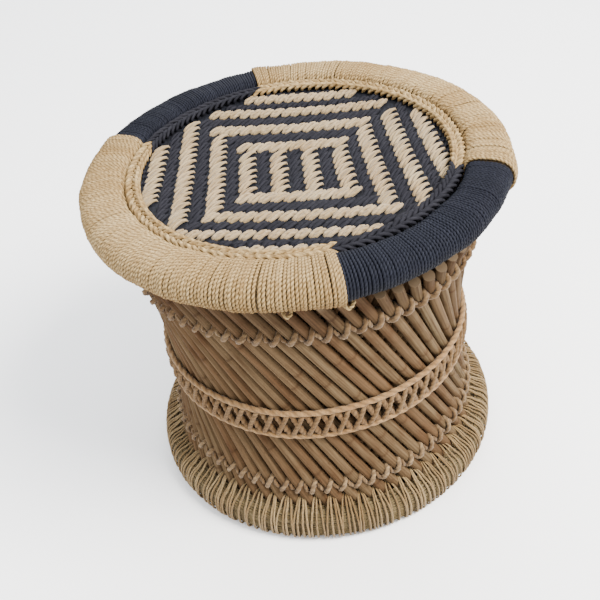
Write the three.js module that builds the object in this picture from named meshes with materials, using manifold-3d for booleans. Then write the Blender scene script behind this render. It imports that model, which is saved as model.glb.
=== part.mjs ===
// Mudda stool: a drum of two crossing layers of reeds, a cord-wound rim round a woven seat,
// a laced rope belt at the waist and a straw foot ring lashed to the reed ends.
// Millimetres, +Z up, origin on the floor at the drum's axis, front towards -Y.
import * as THREE from 'three';
import { mergeVertices } from 'three/addons/utils/BufferGeometryUtils.js';
import Module from 'manifold-3d';

const wasm = await Module();
wasm.setup();

const fullTurn = 2 * Math.PI;
const { degToRad } = THREE.MathUtils;

// Reeds: straight, in two layers that lean opposite ways, which pinches the drum at the waist
const reedCount = 68;
const reedsPerGroup = 4;
const waistHeight = 142;
const reedFootHeight = 3.2;
const reedFootRadius = 4.8;
const reedTipRadius = 4.4;
const innerReedThinner = 0.35;
const reedSides = 5;
const outerLayer = { waistRadius: 149, lean: -0.55, top: 310.6 };
const innerLayer = { waistRadius: 138.9, lean: 0.52, top: 302.7 };
const innerGroups = 12;
const headStrip = { inner: 157, outer: 167.2, bottom: 298.5, overlap: 0.47, spans: 3 };

// Rope knots that tie every outer reed to its neighbours, in a low and a high row
const knotHeights = [60, 265];
const knotRadius = 7;
const knotHalfLength = 7;
const knotStandOut = 2;
const knotDrawIn = 0.6;

// Foot ring: straw, with the reed ends clamped between it and a hoop
const footRing = { outerRadius: 183.2, bottom: 2.9, top: 31 };
const lowerHoop = { inner: 140, outer: 144.4, bottom: 8, top: 33 };

// Foot lashing: cord through every reed gap, round the foot ring and under the reed ends
const lashing = {
  height: 35.5,
  loops: [23, 23, 22],
  thickness: 2.6,
  cordWidth: 2.2,
  fanWidth: 11,
  flatCut: 0.5,
};

// Waist belt: two ropes with a lacing that zigzags between them
const beltHeights = [127.5, 157.4];
const beltRadius = 157.3;
const beltRopeRadius = 2.8;
const lacingRadius = 156.4;
const lacingRopeRadius = 2;
const lacingReach = 7;
const lacingMitre = 4.6;
const lacingTurns = 34;

// Rim: a straw bundle inside four cord windings, two natural and two black
const rim = { radius: 182, height: 329.5, halfWidth: 23, halfHeight: 17.5 };
const windingThickness = 3.4;
const rimClearance = 1.1;
const rimSteps = 8;
const windingGap = 0.7;
const rimParts = [
  { place: 'front', colour: 'natural', from: 156, to: 277.6, loops: 24 },
  { place: 'right', colour: 'black', from: 277.6, to: 340, loops: 12 },
  { place: 'back', colour: 'natural', from: 340, to: 459.8, loops: 24 },
  { place: 'left', colour: 'black', from: 459.8, to: 516, loops: 11 },
];

// Seat: a woven sheet that dips to the middle, on a hoop that stands on the inner reeds
const seatHoop = { inner: 150, outer: 168.3, bottom: 303, shoulder: 311, neck: 158.3, top: 326.6 };
const seat = { radius: 157.6, flatFrom: 148, edgeHeight: 333, thickness: 6, dip: 8 };
const braid = { inner: 143.2, outer: 158.4, height: 9, groove: 1.8 };
const partingGap = 0.6;

// Seat pattern: natural bands floated over the black ground, a ladder inside nested rectangles
const patternCentre = -4;
const patternSlope = Math.tan(degToRad(-7));
const bandWidth = 16;
const bandThickness = 2.5;
const touchGap = 0.3;
const ladderHalf = { x: 54, y: 53 };
const innerBandHalf = { x: 83, y: 88 };
const outerBandHalf = { x: 113, y: 119 };
const edgeBandHalf = { x: 142, y: 146 };

const finishes = {
  reed: { color: 0xa98258, roughness: 0.7 },
  innerReed: { color: 0x8c6843, roughness: 0.75 },
  natural: { color: 0xc9ad86, roughness: 0.85 },
  black: { color: 0x1d2230, roughness: 0.5 },
  rope: { color: 0xb8966a, roughness: 0.9 },
  straw: { color: 0xc4a676, roughness: 0.9 },
};

const stool = new THREE.Group();

function addPiece(name, geometry, finish) {
  const material = new THREE.MeshStandardMaterial({ ...finishes[finish], metalness: 0 });
  material.flatShading = true;
  const mesh = new THREE.Mesh(geometry, material);
  mesh.name = name;
  stool.add(mesh);
}

function ringPoint(radius, angle, height) {
  return new THREE.Vector3(radius * Math.cos(angle), radius * Math.sin(angle), height);
}

function tangentAt(angle) {
  return new THREE.Vector3(-Math.sin(angle), Math.cos(angle), 0);
}

// Only positions stay, shared between faces, and the faces are turned to point out
function closedGeometry(geometry) {
  geometry.deleteAttribute('normal');
  geometry.deleteAttribute('uv');
  const merged = mergeVertices(geometry, 1e-4);
  const position = merged.getAttribute('position');
  const index = merged.getIndex();
  const corners = [new THREE.Vector3(), new THREE.Vector3(), new THREE.Vector3()];
  let volume = 0;
  for (let face = 0; face < index.count; face += 3) {
    corners.forEach((corner, place) => corner.fromBufferAttribute(position, index.getX(face + place)));
    volume += corners[0].dot(corners[1].clone().cross(corners[2]));
  }
  if (volume < 0) {
    index.array.reverse();
  }
  return merged;
}

// A solid through rings of points, capped at both ends or joined end to start
function loft(rings, joined = false) {
  const sides = rings[0].length;
  const index = [];
  const spans = joined ? rings.length : rings.length - 1;
  for (let ring = 0; ring < spans; ring += 1) {
    const here = ring * sides;
    const next = ((ring + 1) % rings.length) * sides;
    for (let side = 0; side < sides; side += 1) {
      const across = (side + 1) % sides;
      index.push(here + side, here + across, next + across);
      index.push(here + side, next + across, next + side);
    }
  }
  if (!joined) {
    const last = (rings.length - 1) * sides;
    for (let side = 1; side < sides - 1; side += 1) {
      index.push(0, side + 1, side);
      index.push(last, last + side, last + side + 1);
    }
  }
  const geometry = new THREE.BufferGeometry();
  geometry.setFromPoints(rings.flat());
  geometry.setIndex(index);
  return closedGeometry(geometry);
}

// A ring of the given outline, each point a radius and a height
function spun(outline, segments) {
  const profile = outline.map(([radius, height]) => new THREE.Vector2(radius, height));
  profile.push(profile[0].clone());
  const geometry = new THREE.LatheGeometry(profile, segments);
  geometry.rotateX(Math.PI / 2);
  return closedGeometry(geometry);
}

function toSolid(geometry) {
  const vertProperties = new Float32Array(geometry.getAttribute('position').array);
  const triVerts = new Uint32Array(geometry.getIndex().array);
  return new wasm.Manifold(new wasm.Mesh({ numProp: 3, vertProperties, triVerts }));
}

function toGeometry(solid) {
  const { vertProperties, triVerts } = solid.getMesh();
  const geometry = new THREE.BufferGeometry();
  geometry.setAttribute('position', new THREE.BufferAttribute(vertProperties, 3));
  geometry.setIndex(new THREE.BufferAttribute(triVerts, 1));
  return geometry;
}

function fused(geometries) {
  return toGeometry(wasm.Manifold.union(geometries.map(toSolid)));
}

function extrudedUp(shape, bottom, depth) {
  const geometry = new THREE.ExtrudeGeometry(shape, { depth, bevelEnabled: false });
  geometry.translate(0, 0, bottom);
  return closedGeometry(geometry);
}

// Level section of a reed: its axis is a straight line that touches the waist circle
function reedSection(layer, waistAngle, height, radius, standOut = 0, sideways = 0) {
  const out = ringPoint(1, waistAngle, 0);
  const along = tangentAt(waistAngle).multiplyScalar(layer.lean);
  along.z = 1;
  const across = along.clone().cross(out).normalize();
  const centre = out.clone().multiplyScalar(layer.waistRadius + standOut);
  centre.addScaledVector(along, height - waistHeight);
  centre.addScaledVector(tangentAt(waistAngle), sideways);
  centre.z = height;
  const facing = layer === outerLayer ? 0 : Math.PI;
  const section = [];
  for (let side = 0; side < reedSides; side += 1) {
    const angle = facing + (side / reedSides) * fullTurn;
    const point = centre.clone();
    point.addScaledVector(out, radius * Math.cos(angle));
    point.addScaledVector(across, radius * Math.sin(angle));
    point.addScaledVector(along, height - point.z);
    section.push(point);
  }
  return section;
}

function reedRadiusAt(height) {
  const share = (height - reedFootHeight) / (outerLayer.top - reedFootHeight);
  return THREE.MathUtils.lerp(reedFootRadius, reedTipRadius, share);
}

// How far round the drum a reed has gone at a height, from its place at the waist
function reedDrift(layer, height) {
  return Math.atan2(layer.lean * (height - waistHeight), layer.waistRadius);
}

const reedPitch = fullTurn / reedCount;
const gapHeight = lashing.height + lashing.thickness / 2;
const gapDrift = reedDrift(outerLayer, gapHeight);
const innerPhase = gapDrift - reedDrift(innerLayer, gapHeight);

// An outer reed swells into a knot at both rows, and a group's knots run into each other
function knottedReed(number, placeInGroup) {
  const angle = number * reedPitch;
  const drawIn = ((reedsPerGroup - 1) / 2 - placeInGroup) * knotDrawIn;
  const section = (height, ...shape) => reedSection(outerLayer, angle, height, ...shape);
  const plain = (height) => section(height, reedRadiusAt(height));
  const rings = [plain(reedFootHeight)];
  for (const height of knotHeights) {
    rings.push(plain(height - knotHalfLength));
    rings.push(section(height, knotRadius, knotStandOut, drawIn));
    rings.push(plain(height + knotHalfLength));
  }
  rings.push(plain(outerLayer.top));
  return loft(rings);
}

function addOuterReeds() {
  for (let group = 0; group < reedCount / reedsPerGroup; group += 1) {
    const reeds = [];
    for (let place = 0; place < reedsPerGroup; place += 1) {
      reeds.push(knottedReed(group * reedsPerGroup + place, place));
    }
    const number = String(group + 1).padStart(2, '0');
    addPiece(`outer_reeds_${number}`, fused(reeds), 'reed');
  }
}

function innerReed(number) {
  const rings = [reedFootHeight, innerLayer.top].map((height) => {
    const radius = reedRadiusAt(height) - innerReedThinner;
    return reedSection(innerLayer, innerPhase + number * reedPitch, height, radius);
  });
  return loft(rings);
}

// A group's inner reeds end in a strip that runs across their heads
function reedHeads(first, next) {
  const { inner, outer, bottom, overlap, spans } = headStrip;
  const top = innerLayer.top;
  const drift = innerPhase + reedDrift(innerLayer, top);
  const from = drift + (first - overlap) * reedPitch;
  const turn = (next - 1 - first + 2 * overlap) * reedPitch;
  const rings = [];
  for (let step = 0; step <= spans; step += 1) {
    const angle = from + (step / spans) * turn;
    const low = [ringPoint(inner, angle, bottom), ringPoint(outer, angle, bottom)];
    rings.push([...low, ringPoint(outer, angle, top), ringPoint(inner, angle, top)]);
  }
  return loft(rings);
}

function addInnerReeds() {
  let first = 0;
  for (let group = 1; group <= innerGroups; group += 1) {
    const next = Math.round((group * reedCount) / innerGroups);
    const pieces = [reedHeads(first, next)];
    for (let number = first; number < next; number += 1) {
      pieces.push(innerReed(number));
    }
    addPiece(`inner_reeds_${String(group).padStart(2, '0')}`, fused(pieces), 'innerReed');
    first = next;
  }
}

// The seat hoop stands on the inner reeds, and the seat lies on it
function addSeatHoop() {
  const { inner, outer, bottom, shoulder, neck, top } = seatHoop;
  const outline = [[inner, bottom], [outer, bottom], [outer, shoulder]];
  outline.push([neck, shoulder + 5], [neck, top], [inner, top]);
  addPiece('seat_hoop', spun(outline, 30), 'innerReed');
}

function addFootRing() {
  const { outerRadius, bottom, top } = footRing;
  const inner = [[167.6, top - 1.5], [169.4, 22], [173.9, bottom]];
  const outer = [[outerRadius - 3.7, bottom], [outerRadius - 0.8, 11], [outerRadius - 0.8, 20]];
  const crown = [[outerRadius - 5.4, top - 2.5], [outerRadius - 12.6, top]];
  addPiece('foot_ring', spun([...inner, ...outer, ...crown], 36), 'straw');
  const hoop = lowerHoop;
  const band = [[hoop.inner, hoop.bottom], [hoop.outer, hoop.bottom], [hoop.outer, hoop.top]];
  addPiece('lower_hoop', spun([...band, [hoop.inner, hoop.top]], 36), 'innerReed');
}

// A cord laid along a route: each stop has its point, the direction across the cord, the cord's
// width and thickness there, and the share of the width on which its crest is flat
function cordRings(route) {
  return route.map((stop, place) => {
    const before = route[Math.max(place - 1, 0)].point;
    const after = route[Math.min(place + 1, route.length - 1)].point;
    const arriving = stop.point.clone().sub(before).normalize();
    const leaving = after.clone().sub(stop.point).normalize();
    const along = arriving.clone().add(leaving).normalize();
    const out = along.clone().cross(stop.across).normalize();
    const rise = stop.thickness / Math.max(along.dot(arriving), along.dot(leaving));
    const corner = (share, lift) => {
      const point = stop.point.clone().addScaledVector(stop.across, (share * stop.width) / 2);
      return point.addScaledVector(out, lift);
    };
    const base = [corner(-1, 0), corner(1, 0)];
    const crest = stop.flat ? [corner(stop.flat, rise), corner(-stop.flat, rise)] : [corner(0, rise)];
    if (stop.onFloor) {
      crest.forEach((point) => point.setZ(0));
    }
    return [...base, ...crest];
  });
}

// Least distance from the points of each loop to those of the next
function printLeastGap(name, rings, stepsPerLoop) {
  let least = Infinity;
  rings.forEach((ring, place) => {
    const nextLoop = rings.slice(place + stepsPerLoop - 1, place + stepsPerLoop + 2).flat();
    for (const point of ring) {
      nextLoop.forEach((other) => {
        least = Math.min(least, point.distanceTo(other));
      });
    }
  });
  console.log(`${name}: least gap between its turns ${least.toFixed(2)} mm`);
}

// One loop of the lashing. It goes out through a reed gap, fans out over the foot ring and comes
// back under the reed ends, cut flat where the stool stands on it, to the next gap
function lashingStops() {
  const { fanWidth, cordWidth, thickness, flatCut, height } = lashing;
  const floor = thickness - flatCut;
  const plain = { thickness, flat: 0.45, moved: 0 };
  const worn = { thickness: floor, flat: 0.6, onFloor: true };
  return [
    { ...plain, radius: 138.2, height, width: cordWidth },
    { ...plain, radius: 168, height, width: cordWidth },
    { ...plain, radius: 181.4, height: height - 7, width: fanWidth * 0.8 },
    { ...plain, radius: 184, height: height / 2, width: fanWidth },
    { ...plain, ...worn, radius: 180.5, height: floor, width: fanWidth * 0.8 },
    { ...plain, ...worn, radius: 138.2, height: floor, width: cordWidth * 1.3, moved: 1 },
  ];
}

function addFootLashing() {
  const stops = lashingStops();
  let gapNumber = 0;
  lashing.loops.forEach((loops, part) => {
    const route = [];
    for (let loop = 0; loop < loops; loop += 1) {
      for (const stop of stops) {
        const angle = gapDrift + (gapNumber + loop + 0.5 + stop.moved) * reedPitch;
        const point = ringPoint(stop.radius, angle, stop.height);
        route.push({ ...stop, point, across: tangentAt(angle) });
      }
    }
    gapNumber += loops;
    const name = `foot_lashing_${part + 1}`;
    const rings = cordRings(route);
    printLeastGap(name, rings, stops.length);
    addPiece(name, loft(rings), 'rope');
  });
}

function addWaistBelt() {
  beltHeights.forEach((height, place) => {
    const outline = [];
    for (let side = 0; side < 5; side += 1) {
      const angle = (side / 5) * fullTurn;
      const radius = beltRadius + beltRopeRadius * Math.cos(angle);
      outline.push([radius, height + beltRopeRadius * Math.sin(angle)]);
    }
    addPiece(`waist_rope_${place === 0 ? 'lower' : 'upper'}`, spun(outline, 38), 'rope');
  });
  const middle = (beltHeights[0] + beltHeights[1]) / 2;
  const rings = [];
  for (let step = 0; step < 2 * lacingTurns; step += 1) {
    const angle = (step / 2 / lacingTurns) * fullTurn;
    const side = step % 2 === 0 ? 1 : -1;
    const height = middle + side * lacingReach;
    rings.push([
      ringPoint(lacingRadius + lacingRopeRadius, angle, height),
      ringPoint(lacingRadius, angle, height + lacingMitre),
      ringPoint(lacingRadius - lacingRopeRadius, angle, height),
      ringPoint(lacingRadius, angle, height - lacingMitre),
    ]);
  }
  addPiece('waist_lacing', loft(rings, true), 'rope');
}

// A corner of the rim's oval section, which is flat at the top, bottom and sides, sunk below
// its outer surface; half steps give the middle of a flat, and step 0 is at the bottom
function rimSection(step, sunk) {
  const angle = (step / rimSteps) * fullTurn + Math.PI / 2;
  const reach = step % 1 === 0 ? 1 : 1 / Math.cos(Math.PI / rimSteps);
  const radius = rim.radius + (rim.halfWidth - sunk) * reach * Math.cos(angle);
  return [radius, rim.height - (rim.halfHeight - sunk) * reach * Math.sin(angle)];
}

function addRimBundle() {
  const outline = [];
  for (let step = 0; step < rimSteps; step += 1) {
    outline.push(rimSection(step + 0.5, windingThickness + rimClearance));
  }
  addPiece('rim_bundle', spun(outline, 36), 'straw');
}

// One unbroken cord wound round the bundle, each loop a turn further round the rim. It starts
// and ends in the middle of the bottom flat, face to face with the next winding's end
function addRimWinding({ place, colour, from, to, loops }) {
  const pitch = degToRad(to - from) / loops;
  const stopAt = (step, trim = 0) => {
    const angle = degToRad(from) + (step / rimSteps) * pitch;
    const [radius, height] = rimSection(step, windingThickness);
    const point = ringPoint(radius + trim, angle, height);
    const width = pitch * radius - windingGap;
    return { point, across: tangentAt(angle), width, thickness: windingThickness };
  };
  const route = [stopAt(0, -touchGap)];
  for (let corner = 0.5; corner < loops * rimSteps; corner += 1) {
    route.push(stopAt(corner));
  }
  route.push(stopAt(loops * rimSteps, touchGap));
  const name = `rim_winding_${place}`;
  const rings = cordRings(route);
  printLeastGap(name, rings, rimSteps);
  addPiece(name, loft(rings), colour);
}

// A flat braid with a furrow along its middle covers the joint of rim and seat
function addBraid({ place, colour, from, to }) {
  const low = seat.edgeHeight + touchGap;
  const high = low + braid.height;
  const middle = (braid.inner + braid.outer) / 2;
  const outline = [[braid.inner + 1, low], [braid.outer - 1, low], [braid.outer, low + 4]];
  outline.push([middle + 3.5, high], [middle, high - braid.groove], [middle - 3.5, high]);
  outline.push([braid.inner, low + 4]);
  const trim = partingGap / 2 / middle;
  const start = degToRad(from) + trim;
  const end = degToRad(to) - trim;
  const spans = Math.round((to - from) / 7.5);
  const rings = [];
  for (let span = 0; span <= spans; span += 1) {
    const angle = THREE.MathUtils.lerp(start, end, span / spans);
    rings.push(outline.map(([radius, height]) => ringPoint(radius, angle, height)));
  }
  addPiece(`rim_braid_${place}`, loft(rings), colour);
}

function seatHeight(radius) {
  const share = Math.min(radius / seat.flatFrom, 1);
  return seat.edgeHeight - seat.dip * (1 - share * share);
}

const seatRings = [seat.flatFrom, 84];
const seatSegments = 24;

function addSeatGround() {
  const top = seatRings.map((radius) => [radius, seatHeight(radius)]);
  const bottom = top.map(([radius, height]) => [radius, height - seat.thickness]);
  const rim = [[seat.radius, seat.edgeHeight - seat.thickness], [seat.radius, seat.edgeHeight]];
  const middle = [[0, seatHeight(0)], [0, seatHeight(0) - seat.thickness]];
  addPiece('seat_ground', spun([...rim, ...top, ...middle, ...bottom.reverse()], seatSegments), 'black');
}

// The thin dished layer in which the natural bands lie, just above the ground
function bandLayer() {
  const reach = braid.inner - touchGap;
  const radii = [reach, ...seatRings.slice(1), 0];
  const low = radii.map((radius) => [radius, seatHeight(radius) + touchGap]);
  const high = low.map(([radius, height]) => [radius, height + bandThickness]);
  return toSolid(spun([...low, ...high.reverse()], seatSegments));
}

// A four-cornered outline whose rows slope a little, as the hand weaving does
function patternCorners(left, right, front, back) {
  const corners = [[left, front], [right, front], [right, back], [left, back]];
  return corners.map(([x, y]) => new THREE.Vector2(x, patternCentre + y + x * patternSlope));
}

function frameShape(half) {
  const shape = new THREE.Shape(patternCorners(-half.x, half.x, -half.y, half.y));
  const x = half.x - bandWidth;
  const y = half.y - bandWidth;
  return { shape, open: { x, y } };
}

function addBand(name, shape, layer) {
  const prism = toSolid(extrudedUp(shape, 300, 60));
  addPiece(name, toGeometry(prism.intersect(layer)), 'natural');
}

// Three dark slots leave the ladder's two rails, two rungs and two ends
function addLadder(layer) {
  const { shape, open } = frameShape(ladderHalf);
  const slots = 3;
  const slotWidth = (2 * open.x - (slots - 1) * bandWidth) / slots;
  for (let slot = 0; slot < slots; slot += 1) {
    const left = -open.x + slot * (slotWidth + bandWidth);
    shape.holes.push(new THREE.Path(patternCorners(left, left + slotWidth, -open.y, open.y)));
  }
  addBand('seat_ladder', shape, layer);
}

// Past the inner frame the braid hides the corners, so each side is a band of its own
function addBandsRound(half, cornerGap, name, layer) {
  const x = half.x - bandWidth;
  const y = half.y - bandWidth;
  const sides = {
    left: patternCorners(-half.x, -x, -y + cornerGap, y - cornerGap),
    right: patternCorners(x, half.x, -y + cornerGap, y - cornerGap),
    front: patternCorners(-x + cornerGap, x - cornerGap, -half.y, -y),
    back: patternCorners(-x + cornerGap, x - cornerGap, y, half.y),
  };
  for (const [side, corners] of Object.entries(sides)) {
    addBand(`${name}_${side}`, new THREE.Shape(corners), layer);
  }
}

function addSeatPattern() {
  const layer = bandLayer();
  addLadder(layer);
  const { shape, open } = frameShape(innerBandHalf);
  shape.holes.push(new THREE.Path(patternCorners(-open.x, open.x, -open.y, open.y)));
  addBand('seat_inner_band', shape, layer);
  addBandsRound(outerBandHalf, 8, 'seat_outer_band', layer);
  addBandsRound(edgeBandHalf, 8, 'seat_edge_band', layer);
}

addOuterReeds();
addInnerReeds();
addSeatHoop();
addFootRing();
addFootLashing();
addWaistBelt();
addRimBundle();
rimParts.forEach(addRimWinding);
rimParts.forEach(addBraid);
addSeatGround();
addSeatPattern();

export default stool;
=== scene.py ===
import math
import random

import bpy
import numpy as np
from mathutils import Matrix, Vector


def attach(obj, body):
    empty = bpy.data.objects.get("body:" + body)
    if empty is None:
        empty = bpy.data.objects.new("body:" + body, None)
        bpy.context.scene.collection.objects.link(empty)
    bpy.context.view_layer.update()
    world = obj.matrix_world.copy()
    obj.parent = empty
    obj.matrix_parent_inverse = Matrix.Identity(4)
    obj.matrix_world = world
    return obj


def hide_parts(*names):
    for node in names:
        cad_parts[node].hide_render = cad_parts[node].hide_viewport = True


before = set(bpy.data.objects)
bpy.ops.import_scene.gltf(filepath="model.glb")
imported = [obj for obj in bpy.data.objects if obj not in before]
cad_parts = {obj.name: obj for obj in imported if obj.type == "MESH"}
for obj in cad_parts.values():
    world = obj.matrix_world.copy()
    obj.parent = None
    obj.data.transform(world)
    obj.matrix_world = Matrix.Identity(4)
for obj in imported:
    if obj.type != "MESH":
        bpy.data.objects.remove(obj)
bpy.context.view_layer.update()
print("frame loaded")

mm = 0.001
fullTurn = 2 * math.pi
dice = random.Random(17)

# what several pieces share, in millimetres, as the CAD model has it
drum = {
    "reedCount": 68,
    "waistHeight": 142.0,
    "reedFoot": 3.2,
    "gapHeight": 36.8,
    "outer": {"waist": 149.0, "lean": -0.55, "top": 310.6},
    "inner": {"waist": 138.9, "lean": 0.52, "top": 302.7},
}
pitch = fullTurn / drum["reedCount"]


def riseTo(layer, height):
    # how far a leaning reed of a layer has moved along the tangent at a height
    return drum[layer]["lean"] * (height - drum["waistHeight"])


def driftAt(layer, height):
    # the same as a turn about the drum's axis, in radians
    return np.arctan2(riseTo(layer, height), drum[layer]["waist"])


gapDrift = driftAt("outer", drum["gapHeight"])
innerPhase = gapDrift - driftAt("inner", drum["gapHeight"])
outerNodes = [f"outer_reeds_{n:02d}" for n in range(1, 18)]
innerNodes = [f"inner_reeds_{n:02d}" for n in range(1, 13)]


def deselectAll():
    if bpy.context.object and bpy.context.object.mode != "OBJECT":
        bpy.ops.object.mode_set(mode="OBJECT")
    bpy.ops.object.select_all(action="DESELECT")


def takeUp(piece):
    deselectAll()
    bpy.context.view_layer.objects.active = piece
    piece.select_set(True)


def finishPiece(piece, finish, nodes):
    piece.data.materials.clear()
    piece.data.materials.append(finish)
    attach(piece, "root")
    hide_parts(*nodes)


def hangUp(name, mesh):
    piece = bpy.data.objects.new(name, mesh)
    bpy.context.scene.collection.objects.link(piece)
    return piece


def unit(vectors):
    return vectors / np.maximum(np.linalg.norm(vectors, axis=-1, keepdims=True), 1e-9)


def ripple(places, seed):
    # smooth wandering between -1 and 1, the same every time for a seed
    heights = np.random.default_rng(seed).uniform(-1, 1, 4096)
    places = np.asarray(places, float) + 1000
    low = np.floor(places).astype(int)
    share = places - low
    share = share * share * (3 - 2 * share)
    return heights[low % 4096] * (1 - share) + heights[(low + 1) % 4096] * share


def walkedAlong(path):
    return np.concatenate([[0], np.cumsum(np.linalg.norm(np.diff(path, axis=0), axis=1))])


def smoothPath(stops, count):
    # an even walk along a rounded line through the stops
    stops = np.asarray(stops, float)
    padded = np.vstack([2 * stops[0] - stops[1], stops, 2 * stops[-1] - stops[-2]])
    walk = np.linspace(0, len(stops) - 1 - 1e-6, count)
    index = walk.astype(int)
    t = (walk - index)[:, None]
    a, b, c, d = (padded[index + k] for k in range(4))
    return 0.5 * (2 * b + (c - a) * t + (2 * a - 5 * b + 4 * c - d) * t**2 + (3 * b - a - 3 * c + d) * t**3)


def ringPoints(radius, angle, height):
    radius, angle, height = np.broadcast_arrays(radius, angle, height)
    return np.stack([radius * np.cos(angle), radius * np.sin(angle), height], axis=-1).astype(float)


def roundSteps(count):
    return np.linspace(0, fullTurn, count, endpoint=False)


def turnedFrom(degrees, start):
    # the shorter way round from one direction to another, from -180 to 180
    return (degrees - start + 180) % 360 - 180


def outAndRound(angle):
    c, s = math.cos(angle), math.sin(angle)
    return np.array([c, s, 0.0]), np.array([-s, c, 0.0])


def ringCord(radius, turn, height, thickness, tone=0):
    path = ringPoints(radius, turn, height)
    return {"path": path, "radius": thickness, "closed": True, "tone": tone}


def spread(mesh, name, values):
    # one value, or one row of three, for each corner of a mesh
    values = np.asarray(values, np.float32)
    kind, field = ("FLOAT_VECTOR", "vector") if values.ndim == 2 else ("FLOAT", "value")
    mesh.attributes.new(name, kind, "POINT").data.foreach_set(field, values.ravel())


endTaper = 0.6  # a cut end's radius against the cord's


def layCords(name, cords, build):
    # two-ply cords along paths in millimetres, all in one mesh
    sides = build["sides"]
    turn = np.arange(sides) / sides * fullTurn
    here = np.arange(sides)[None, :]
    beside = (here + 1) % sides
    corners, faces, base = [], [], 0
    marks = {"crest": [], "tone": [], "paintedShade": [], "lay": []}
    for cord in cords:
        path = np.asarray(cord["path"], float)
        count, closed = len(path), cord.get("closed", False)
        along = unit(np.roll(path, -1, 0) - np.roll(path, 1, 0) if closed else np.gradient(path, axis=0))
        out = np.broadcast_to(np.asarray(cord.get("out", (0, 0, 1)), float), path.shape)
        out = unit(out - along * np.sum(out * along, axis=1, keepdims=True))
        side = np.cross(along, out)
        walked = walkedAlong(path)
        lay = build["lay"]
        radius = np.broadcast_to(cord["radius"], count).astype(float)
        if closed:
            whole = walked[-1] + np.linalg.norm(path[0] - path[-1])
            lay = whole / max(round(whole / lay * 2), 1) * 2
        else:
            radius[[0, -1]] *= endTaper
        twist = turn[None, :] - fullTurn * walked[:, None] / lay + cord.get("start", 0)
        crest = np.abs(np.cos(twist))
        reach = radius[:, None] * (1 - build["groove"] * (1 - crest))
        points = (
            path[:, None, :]
            + (reach * np.cos(turn) * build.get("squash", 1))[:, :, None] * out[:, None, :]
            + (reach * np.sin(turn))[:, :, None] * side[:, None, :]
        )
        ring = np.arange(count if closed else count - 1)[:, None] * sides
        after = (ring + sides) % (count * sides)
        quads = np.stack([ring + here, ring + beside, after + beside, after + here], axis=-1)
        faces.append(quads.reshape(-1, 4) + base)
        if not closed:
            for k in range(sides // 2 - 1):
                cap = np.array([[k, k + 1, sides - 2 - k, sides - 1 - k]]) + base
                faces += [cap[:, ::-1], cap + (count - 1) * sides]
        corners.append(points.reshape(-1, 3))
        marks["crest"].append(crest.ravel())
        for mark in ("tone", "paintedShade"):
            marks[mark].append(np.repeat(np.broadcast_to(cord.get(mark, 0), count), sides))
        lengthwise = np.broadcast_to(walked[:, None] + dice.uniform(0, 900), twist.shape)
        place = np.stack([np.cos(twist) * 1.5, np.sin(twist) * 1.5, lengthwise], axis=-1)
        marks["lay"].append(place.reshape(-1, 3))
        base += count * sides
    mesh = bpy.data.meshes.new(name)
    mesh.from_pydata(np.vstack(corners) * mm, [], np.vstack(faces))
    for mark, values in marks.items():
        spread(mesh, mark, np.concatenate(values))
    mesh.polygons.foreach_set("use_smooth", np.ones(len(mesh.polygons), bool))
    mesh.update()
    return hangUp(name, mesh)


spinning = {
    "steps": 120,
    "mergeWithin": 0.00002,
    "sharpFrom": math.radians(35),
}


def turnRing(name, outline, steps):
    # a closed outline of radius and height, spun once round the drum's axis
    mesh = bpy.data.meshes.new(name)
    points = [(radius * mm, 0, height * mm) for radius, height in outline]
    edges = [(k, (k + 1) % len(points)) for k in range(len(points))]
    mesh.from_pydata(points, edges, [])
    piece = hangUp(name, mesh)
    takeUp(piece)
    bpy.ops.object.mode_set(mode="EDIT")
    bpy.ops.mesh.select_all(action="SELECT")
    bpy.ops.mesh.spin(steps=steps, angle=fullTurn, center=(0, 0, 0), axis=(0, 0, 1))
    bpy.ops.mesh.select_all(action="SELECT")
    bpy.ops.mesh.remove_doubles(threshold=spinning["mergeWithin"])
    bpy.ops.mesh.normals_make_consistent(inside=False)
    bpy.ops.object.mode_set(mode="OBJECT")
    bpy.ops.object.shade_smooth_by_angle(angle=spinning["sharpFrom"])
    deselectAll()
    return piece


def newFinish(name, roughness, gloss=0.3):
    finish = bpy.data.materials.new(name)
    finish.use_nodes = True
    tree = finish.node_tree
    shader = tree.nodes["Principled BSDF"]
    shader.inputs["Roughness"].default_value = roughness
    shader.inputs["Specular IOR Level"].default_value = gloss
    return finish, tree, shader


def attributeOf(tree, name, output="Fac"):
    node = tree.nodes.new("ShaderNodeAttribute")
    node.attribute_name = name
    return node.outputs[output]


def grainOf(tree, place, stretch, scale, detail=3.0):
    mapping = tree.nodes.new("ShaderNodeMapping")
    mapping.inputs["Scale"].default_value = stretch
    noise = tree.nodes.new("ShaderNodeTexNoise")
    noise.inputs["Scale"].default_value = scale
    noise.inputs["Detail"].default_value = detail
    tree.links.new(place, mapping.inputs["Vector"])
    tree.links.new(mapping.outputs["Vector"], noise.inputs["Vector"])
    return noise.outputs["Fac"]


def objectPlace(tree):
    return tree.nodes.new("ShaderNodeTexCoord").outputs["Object"]


def between(tree, value, low, high, outLow=0.0, outHigh=1.0):
    node = tree.nodes.new("ShaderNodeMapRange")
    for socket, number in zip(("From Min", "From Max", "To Min", "To Max"), (low, high, outLow, outHigh)):
        node.inputs[socket].default_value = number
    tree.links.new(value, node.inputs["Value"])
    return node.outputs["Result"]


def mixed(tree, share, first, second, mode="MIX"):
    node = tree.nodes.new("ShaderNodeMix")
    node.data_type = "RGBA"
    node.blend_type = mode
    colours = [socket for socket in node.inputs if socket.type == "RGBA"]
    for socket, colour in zip(colours, (first, second)):
        if isinstance(colour, tuple):
            socket.default_value = (*colour, 1)
        else:
            tree.links.new(colour, socket)
    if isinstance(share, float):
        node.inputs["Factor"].default_value = share
    else:
        tree.links.new(share, node.inputs["Factor"])
    return [socket for socket in node.outputs if socket.type == "RGBA"][0]


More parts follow.
